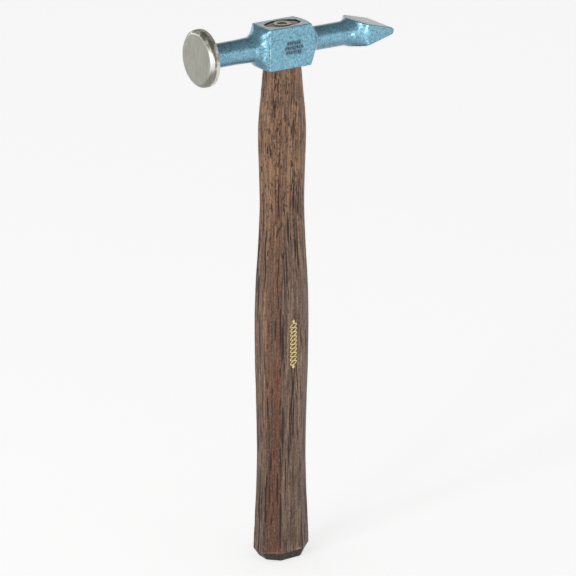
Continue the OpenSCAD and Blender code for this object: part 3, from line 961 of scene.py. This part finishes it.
def grip_lanes(rings, first, last):
    """Stain along the grip: weights of the bevels, their tan and red streaks, and worn edges."""
    rows, columns = rings.shape[:2]
    z = rings[..., 2]
    quarter = columns // 4
    number, place = np.divmod(np.arange(columns), quarter)
    place = np.where(number % 2 == 1, quarter - place, place)
    wander = lattice_noise(rings, (6, 6, 30), 31) - 0.5
    # 0 at the middle of the X flat's ridge, 1 at the middle of the Y flat's
    across = (place - HALF_X_FLAT - RIDGE / 2) / (RIDGE + BEVEL) + 0.25 * wander
    corner = smoothstep(-0.05, 0.05, across) * smoothstep(1.03, 0.97, across - 0.25 * wander)
    tan_share = np.array([0.5, 0.35, 1.0, 0.3])[number]
    red_share = np.array([0.4, 0.7, 1.0, 0.35])[number]
    low_only = smoothstep(285, 200, z)
    tan_lane = bell(across - 0.02, 0.12) * tan_share * smoothstep(20, 90, z)
    red_from = 0.25 + 0.4 * smoothstep(40, 180, z)
    red_lane = smoothstep(red_from, red_from + 0.2, across) * corner * red_share * low_only
    worn = bell(z - BUTT_CHAMFER - 0.4, 0.5) * smoothstep(0.5, 0.7, lattice_noise(rings, 5, 44))
    worn = worn * np.array([0.5, 0.3, 0.35, 1.0])[number]
    on_grip = np.zeros((rows, 1))
    on_grip[first:last] = 1
    corner = np.where(place < 11, np.maximum(corner, 0.65), corner)
    lanes = {"corner": corner, "tan": tan_lane, "red": red_lane, "worn": worn}
    return {key: (value * on_grip).ravel() for key, value in lanes.items()}


def handle_piece():
    rings, first, last = handle_rings()
    rows, columns = rings.shape[:2]
    normals = ring_normals(rings)
    grip = rings[first:last].reshape(-1, 3)
    out = normals[first:last].reshape(-1, 3)
    depth = open_grain(grip, out, seed=11)
    hand_worn = 0.1 * lattice_noise(grip, (5, 5, 24), 3)
    hand_worn += 0.04 * lattice_noise(grip, (1.3, 1.3, 9), 4)
    fade = smoothstep(0.5, 2.0, grip[:, 2]) * smoothstep(GRIP_TOP - 0.3, GRIP_TOP - 2.5, grip[:, 2])
    moved = grip - out * ((depth + hand_worn) * fade)[:, None]
    rings[first:last] = moved.reshape(last - first, columns, 3)
    pore = np.zeros((rows, columns))
    pore[first:last] = (depth * fade / 0.2).reshape(last - first, columns)
    lanes = grip_lanes(rings, first, last)
    shade = np.zeros((rows, columns))
    shade[last:last + 7] = 1                       # painted shade in the gap around the tenon, with its glue line
    shade[last + 7] = 0.45
    shade[-7:] = 0.3                               # inside the wedge
    points = rings.reshape(-1, 3)
    piece("hickory_handle", points, capped_faces(rows, columns), stained_hickory(), "dark_hickory",
          "handle", pore=np.clip(pore, 0, 1).ravel(), shade=shade.ravel(), **lanes)


# ---- The ring wedge ----

def wedge_piece():
    top, low = wedge_high[2], wedge_low[2]
    r_out, r_in, lip = WEDGE_R, WEDGE_HOLE_R, WEDGE_LIP_R
    r_low = WEDGE_R - WEDGE_TAPER
    r_bore = r_low - WEDGE_WALL
    shoulder = top - lip                           # where the two rounded edges start
    turn = np.linspace(0, pi / 2, 6)
    outside = [(r_low + (r_out - lip * 0.2 - r_low) * t, low + (shoulder - low) * t)
               for t in (0.35, 0.7, 1)]
    inside = [(r_in + (r_bore - r_in) * t, shoulder + (low - shoulder) * t)
              for t in (0.1, 0.4, 0.7)]
    profile = np.array(
        [(r_bore, low), (r_low, low)] + outside
        + [(r_out - lip + lip * cos(w), shoulder + lip * sin(w)) for w in turn]
        + [(r_out - (r_out - r_in) * s, top) for s in (0.35, 0.5, 0.65)]
        + [(r_in + lip - lip * sin(w), shoulder + lip * cos(w)) for w in turn] + inside
    )
    around = 112
    angle = np.linspace(0, 2 * pi, around, endpoint=False)
    circle = np.column_stack([np.cos(angle), np.sin(angle)])
    rings = np.array([ring_at(circle * r, z) for r, z in profile])
    dent = 0.16 * lattice_noise(rings, 1.7, 8) + 0.05 * lattice_noise(rings, 0.6, 9)
    rings[..., 2] -= dent * smoothstep(top - 0.9, top - 0.3, rings[..., 2])   # struck from above
    index = np.arange(len(profile) * around).reshape(-1, around)
    quads = ring_quads(np.concatenate([index, index[:1]]))
    piece("wedge_ring", rings.reshape(-1, 3), quads, wedge_steel(), "wedge_steel", "ring_wedge")


# ---- The gold braid ----

BRAID_TURNS = 5
BRAID_W = 4.2
BRAID_LINE = 0.8         # width of a strand
BRAID_SLANT = tan(radians(18))
BRAID_GAP = 0.16         # between a strand and the one that passes over it
DIAMOND_W = 1.2
FOIL_T = 0.05
FOIL_ROOT = 0.14         # how far the foil's back lies in the wood
FOIL_STEP = 0.14         # of the grid that the foil is cut from


def braid_field(x, z, length):
    """Positive on the foil: two strands that pass over and under, and a diamond at each end."""
    u = np.linspace(0, 1, 400)
    run = length - 4 * DIAMOND_W
    strands = []
    for phase in (pi / 2, 3 * pi / 2):
        wave = 2 * pi * BRAID_TURNS * u + phase
        across = BRAID_W / 2 * np.cos(wave)
        line = np.column_stack([across, run * (u - 0.5) + across * BRAID_SLANT])
        gap = np.hypot(x[:, None] - line[:, 0], z[:, None] - line[:, 1])
        nearest = gap.argmin(1)
        half = BRAID_LINE / 2 * (0.5 + 0.5 * np.abs(np.sin(wave)))
        strands.append((gap.min(1) - half[nearest], u[nearest]))
    (first, u1), (second, _) = strands
    first_over = np.round(2 * BRAID_TURNS * u1) % 2 == 0
    over = np.where(first_over, first, second)
    under = np.where(first_over, second, first)
    braid = np.maximum(-over, np.minimum(-under, over - BRAID_GAP))
    for end in (-1, 1):
        spot = np.abs(x) + np.abs(z - end * (length / 2 - DIAMOND_W))
        braid = np.maximum(braid, (DIAMOND_W - sqrt(2) * spot) / 2 + DIAMOND_W * (sqrt(2) - 1) / 2)
    return braid


def foil_piece():
    table = grip_widths()
    centre = (foil_low + foil_high) / 2
    length = foil_high[2] - foil_low[2]
    half = (foil_high[0] - foil_low[0]) / 2 + 0.2
    xs = np.arange(-half, half, FOIL_STEP)
    zs = np.arange(-length / 2 - 0.2, length / 2 + 0.2, FOIL_STEP)
    grid = np.stack(np.meshgrid(xs, zs, indexing="ij"), -1).reshape(-1, 2)
    flat_y = np.array([smooth_table(table, centre[2] + z)[1] for z in zs])
    surface = -np.tile(flat_y, len(xs))
    points = np.column_stack([grid[:, 0] + centre[0], surface, grid[:, 1] + centre[2]])
    value = braid_field(grid[:, 0], grid[:, 1], length)
    worn = lattice_noise(points, (0.5, 9, 1.1), 21) * 0.6
    worn += lattice_noise(points, (0.28, 9, 0.3), 22) * 0.4
    value = np.minimum(value - 0.08 * (worn - 0.5), 1.9 * (0.8 - worn))
    index = np.arange(len(grid)).reshape(len(xs), len(zs))
    corners = (index[:-1, :-1], index[1:, :-1], index[1:, 1:], index[:-1, 1:])
    sheet, faces, _ = cut_sheet(points, np.stack(corners, -1).reshape(-1, 4), value, ())
    shell, faces = closed_shell(sheet - (0, FOIL_T, 0), sheet + (0, FOIL_ROOT, 0), faces)
    piece("foil_braid", shell, faces, gold_foil(), "gold_foil", "foil_mark")


# ---- Studio ----

FLOOR_COLOUR, FLOOR_MOTTLE = (232,) * 3, (231.49,) * 3
FLOOR_GLOW = 0.63        # the table is lit from below as well, so it stays evenly pale
SKY, CEILING = 1.1, 0.19   # the studio's pale walls, and its dark ceiling


def table_top():
    mesh = bpy.data.meshes.new("floor")
    side = 6.0
    mesh.from_pydata([(-side, -side, 0), (side, -side, 0), (side, side, 0), (-side, side, 0)],
                     [], [(0, 1, 2, 3)])
    floor = add_object("floor", mesh)
    floor.location.z = -0.0002
    g = Graph("floor")
    mottle = g.noise(0.002, 2)
    tint = g.mix(g.ramp(mottle, 0.3, 0.7), FLOOR_COLOUR, FLOOR_MOTTLE)
    mesh.materials.append(g.finish(Base_Color=tint, Roughness=0.9, Specular_IOR_Level=0.1,
                                   Emission_Color=(255, 255, 255), Emission_Strength=FLOOR_GLOW))


def surroundings():
    """A world that is pale at the sides and dark overhead."""
    world = bpy.data.worlds.new("studio")
    world.use_nodes = True
    g = Nodes(world.node_tree)
    up = g.call("SeparateXYZ", g.node("TexCoord").outputs["Generated"])["Z"]
    g.fill(g.tree.nodes["Background"], Color=g.ramp(up, 0.22, 0.56, SKY, CEILING))
    bpy.context.scene.world = world


def way_to(azimuth, elevation):
    """The direction at that azimuth, counted from -Y towards +X, and that elevation."""
    return Vector((sin(azimuth) * cos(elevation), -cos(azimuth) * cos(elevation), sin(elevation)))


# Light panels: azimuth, elevation and distance from the head, width, height and radiance
SOFTBOXES = {
    "key": (-64, 8, 2.2, 0.45, 0.7, 6),
    "glint": (-10, -3, 0.5, 0.13, 0.13, 8.5),
    "side": (-74, 4, 0.6, 0.2, 0.14, 2.6),
    "back": (-150, 14, 1.2, 0.5, 0.4, 4),
    "high": (-80, 28, 2.2, 0.35, 0.35, 11),
}
ONLY_IN_GLOSS = ("glint", "side", "back")


def softboxes():
    for name, (azimuth, elevation, distance, width, height, radiance) in SOFTBOXES.items():
        light = bpy.data.lights.new(name, "AREA")
        light.shape, light.size, light.size_y = "RECTANGLE", width, height
        light.energy = radiance * pi * width * height
        lamp = add_object(name, light)
        way = way_to(radians(azimuth), radians(elevation))
        lamp.location = Vector((0, 0, HEAD_Z * MM)) + way * distance
        lamp.rotation_euler = way.to_track_quat("Z", "Y").to_euler()
        lamp.visible_camera = False
        lamp.visible_diffuse = name not in ONLY_IN_GLOSS


def camera():
    """A long lens, from the face side and a little above."""
    azimuth, elevation, roll = radians(-33.7), radians(19.95), radians(0.18)
    distance, aim_height, aim_right = 2.002, 0.16687, 0.00366
    data = bpy.data.cameras.new("camera")
    data.sensor_width, data.lens = 36, 216.9
    view = add_object("camera", data)
    back = way_to(azimuth, elevation)
    right = Vector((cos(azimuth), sin(azimuth), 0))
    up = back.cross(right)
    place = Vector((0, 0, aim_height)) + right * aim_right + back * distance
    axes = (right * cos(roll) + up * sin(roll), up * cos(roll) - right * sin(roll), back)
    view.matrix_world = Matrix.Translation(place) @ Matrix(axes).transposed().to_4x4()
    bpy.context.scene.camera = view


head_pieces()
handle_piece()
wedge_piece()
foil_piece()
table_top()
surroundings()
softboxes()
camera()
bpy.context.scene.view_settings.view_transform = "Standard"
